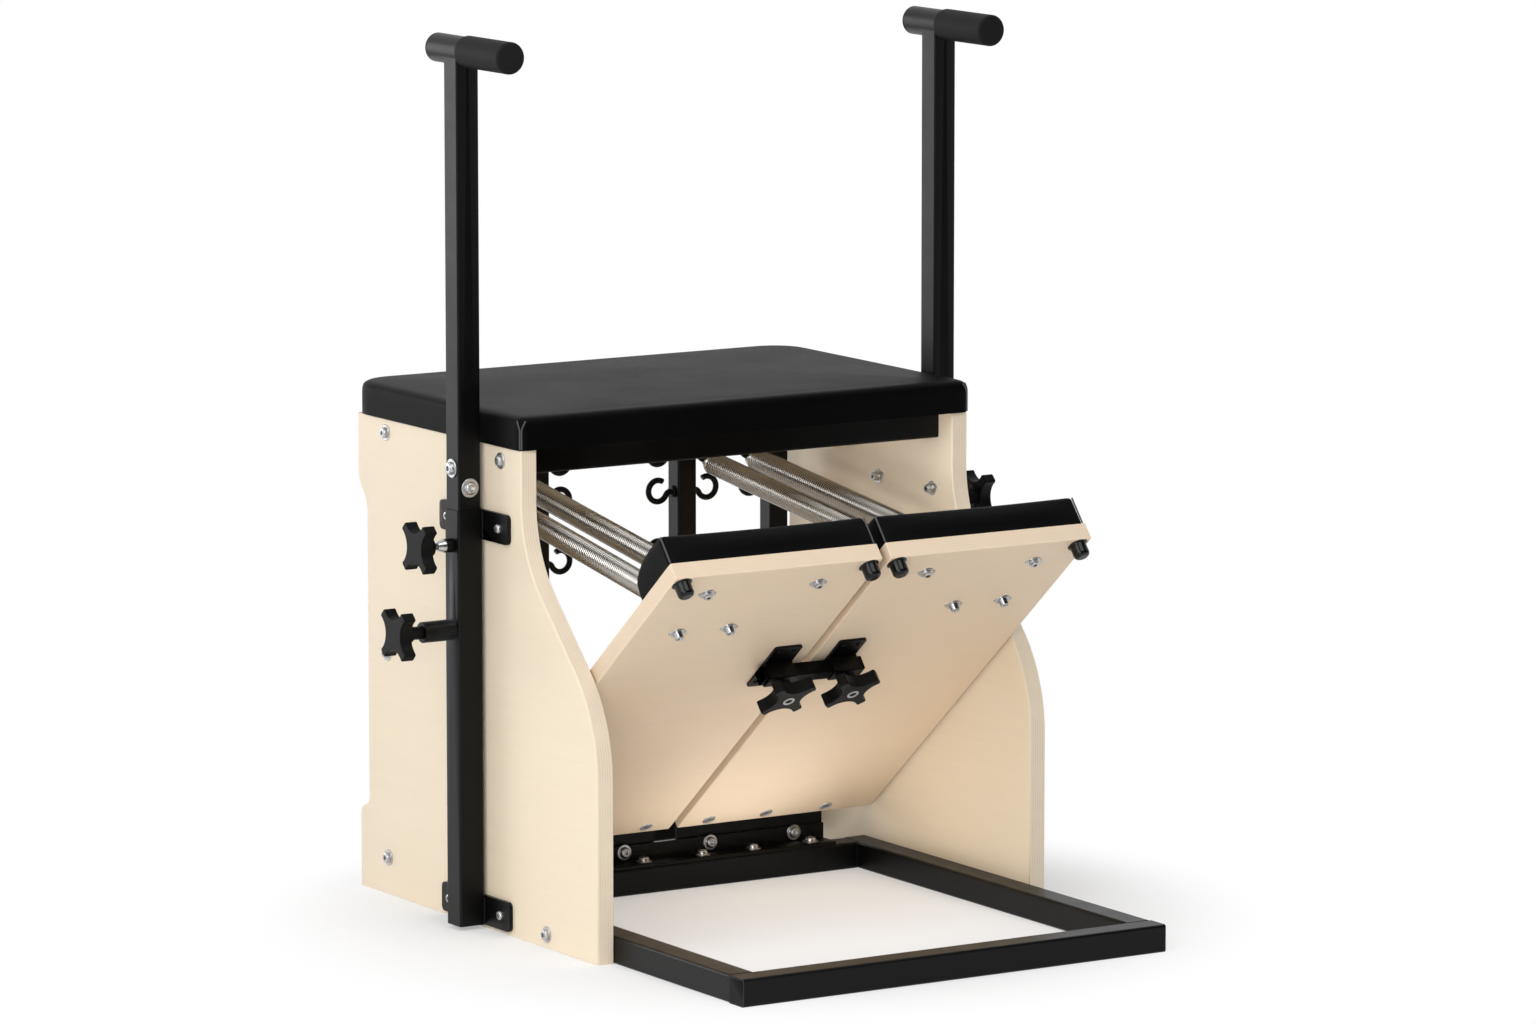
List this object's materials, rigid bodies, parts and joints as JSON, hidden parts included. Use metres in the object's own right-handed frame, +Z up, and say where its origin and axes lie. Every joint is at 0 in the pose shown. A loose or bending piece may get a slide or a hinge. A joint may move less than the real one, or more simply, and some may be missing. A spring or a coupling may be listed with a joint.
{
  "type": "pilates chair",
  "caption": "Free-standing exercise chair with curved plywood sides, a padded seat, sprung hinged foot pedals joined by a sliding bar, and height-adjustable handles on square masts.",
  "frame": {"origin": "on the floor under the centre of the chair's bounding box", "axes": "+Z up, +X to the right seen from the front, +Y towards the rear"},
  "size_m": [0.8282, 0.8381, 1.0232],
  "materials": {
    "plywood": "pale birch plywood with a clear satin lacquer",
    "vinyl": "black upholstery vinyl, soft sheen",
    "black_steel": "satin black powder coat",
    "zinc": "bright zinc plate",
    "nickel": "nickel plated spring wire",
    "steel": "plain steel",
    "knob_plastic": "black moulded plastic",
    "grip_rubber": "matte dark grey",
    "bumper_rubber": "matte black"
  },
  "bodies": {
    "frame": {"left_panel": "plywood", "right_panel": "plywood", "seat_board": "plywood", "seat_pad": "vinyl", "front_seat_rail": "black_steel", "rear_seat_rail": "black_steel", "rear_lower_rail": "black_steel", "inner_spring_posts": "black_steel", "outer_spring_posts": "black_steel", "spring_hooks": "black_steel", "base_front_rail": "black_steel", "left_base_rail": "black_steel", "right_base_rail": "black_steel", "base_hinge_rail": "black_steel", "front_rail_caps": "knob_plastic", "hinge_angle": "black_steel", "left_fixed_leaf": "steel", "right_fixed_leaf": "steel", "hinge_pins": "steel", "frame_bolts": "zinc", "left_mast_sleeve": "black_steel", "right_mast_sleeve": "black_steel", "clamp_bosses": "zinc"},
    "left_pedal": {"left_pedal_board": "plywood", "left_pedal_pad": "vinyl", "left_moving_leaf": "steel", "left_pedal_bumpers": "bumper_rubber", "left_pedal_bolts": "zinc", "left_spring_eyes": "zinc", "left_connector_bracket": "black_steel"},
    "left_spring_rear": {"left_inner_spring": "nickel", "left_outer_spring": "nickel", "left_spring_rear_ends": "nickel"},
    "left_spring_front": {"left_spring_front_ends": "nickel"},
    "left_handle": {"left_handle": "black_steel", "left_grip": "grip_rubber", "left_bar_plug": "knob_plastic", "left_stop_bolts": "zinc"},
    "left_connector_knob": {"left_connector_knob": "knob_plastic"},
    "left_clamp_knob": {"left_clamp_knob": "knob_plastic"},
    "left_pull_pin": {"left_pull_pin": "knob_plastic"},
    "right_pedal": {"right_pedal_board": "plywood", "right_pedal_pad": "vinyl", "right_moving_leaf": "steel", "right_pedal_bumpers": "bumper_rubber", "right_pedal_bolts": "zinc", "right_spring_eyes": "zinc", "right_connector_bracket": "black_steel"},
    "right_spring_rear": {"right_inner_spring": "nickel", "right_outer_spring": "nickel", "right_spring_rear_ends": "nickel"},
    "right_spring_front": {"right_spring_front_ends": "nickel"},
    "right_handle": {"right_handle": "black_steel", "right_grip": "grip_rubber", "right_bar_plug": "knob_plastic", "right_stop_bolts": "zinc"},
    "right_connector_knob": {"right_connector_knob": "knob_plastic"},
    "right_clamp_knob": {"right_clamp_knob": "knob_plastic"},
    "right_pull_pin": {"right_pull_pin": "knob_plastic"},
    "connector_bar": {"connector_bar": "black_steel"}
  },
  "joints": [
    {"name": "left_pedal_hinge", "type": "hinge", "parent": "frame", "child": "left_pedal", "pos_m": [0, 0.2065, 0.084], "axis": [1, 0, 0], "range_deg": [0, 40.87], "stiffness_Nm_per_rad": 40, "springref_deg": -34.38},
    {"name": "left_spring_swing", "type": "hinge", "parent": "frame", "child": "left_spring_rear", "pos_m": [0, 0.331, 0.4783], "axis": [1, 0, 0], "range_deg": [0, 24.07]},
    {"name": "left_spring_stretch", "type": "slide", "parent": "left_spring_rear", "child": "left_spring_front", "axis": [0, -0.9903, -0.1388], "range_m": [0, 0.2344], "deforming": ["left_inner_spring", "left_outer_spring"]},
    {"name": "left_connector_knob_turn", "type": "hinge", "parent": "left_pedal", "child": "left_connector_knob", "pos_m": [-0.043, -0.11163, 0.30197], "axis": [0, -0.6388, -0.7694], "range_deg": [-180, 180]},
    {"name": "left_handle_slide", "type": "slide", "parent": "frame", "child": "left_handle", "axis": [0, 0, 1], "range_m": [0, 0.15]},
    {"name": "left_clamp_knob_turn", "type": "hinge", "parent": "frame", "child": "left_clamp_knob", "pos_m": [-0.33675, 0.116, 0.444], "axis": [-1, 0, 0], "range_deg": [-180, 180]},
    {"name": "left_pull_pin_slide", "type": "slide", "parent": "frame", "child": "left_pull_pin", "axis": [-1, 0, 0], "range_m": [0, 0.008], "stiffness_N_per_m": 500, "springref_m": -0.01},
    {"name": "right_pedal_hinge", "type": "hinge", "parent": "frame", "child": "right_pedal", "pos_m": [0, 0.2065, 0.084], "axis": [1, 0, 0], "range_deg": [0, 40.87], "stiffness_Nm_per_rad": 40, "springref_deg": -34.38},
    {"name": "right_spring_swing", "type": "hinge", "parent": "frame", "child": "right_spring_rear", "pos_m": [0, 0.331, 0.4783], "axis": [1, 0, 0], "range_deg": [0, 24.07]},
    {"name": "right_spring_stretch", "type": "slide", "parent": "right_spring_rear", "child": "right_spring_front", "axis": [0, -0.9903, -0.1388], "range_m": [0, 0.2344], "deforming": ["right_inner_spring", "right_outer_spring"]},
    {"name": "right_connector_knob_turn", "type": "hinge", "parent": "right_pedal", "child": "right_connector_knob", "pos_m": [0.043, -0.11163, 0.30197], "axis": [0, -0.6388, -0.7694], "range_deg": [-180, 180]},
    {"name": "right_handle_slide", "type": "slide", "parent": "frame", "child": "right_handle", "axis": [0, 0, 1], "range_m": [0, 0.15]},
    {"name": "right_clamp_knob_turn", "type": "hinge", "parent": "frame", "child": "right_clamp_knob", "pos_m": [0.33675, 0.116, 0.444], "axis": [1, 0, 0], "range_deg": [-180, 180]},
    {"name": "right_pull_pin_slide", "type": "slide", "parent": "frame", "child": "right_pull_pin", "axis": [1, 0, 0], "range_m": [0, 0.008], "stiffness_N_per_m": 500, "springref_m": -0.01},
    {"name": "connector_bar_slide", "type": "slide", "parent": "left_pedal", "child": "connector_bar", "axis": [1, 0, 0], "range_m": [-0.045, 0]}
  ],
  "couplings": [
    {"joint": "left_spring_swing", "follows": "left_pedal_hinge", "ratio": 0.58763},
    {"joint": "left_spring_stretch", "follows": "left_pedal_hinge", "m_per_rad": 0.32784},
    {"joint": "right_pedal_hinge", "follows": "left_pedal_hinge", "ratio": 1},
    {"joint": "right_spring_swing", "follows": "left_pedal_hinge", "ratio": 0.58763},
    {"joint": "right_spring_stretch", "follows": "left_pedal_hinge", "m_per_rad": 0.32784}
  ]
}
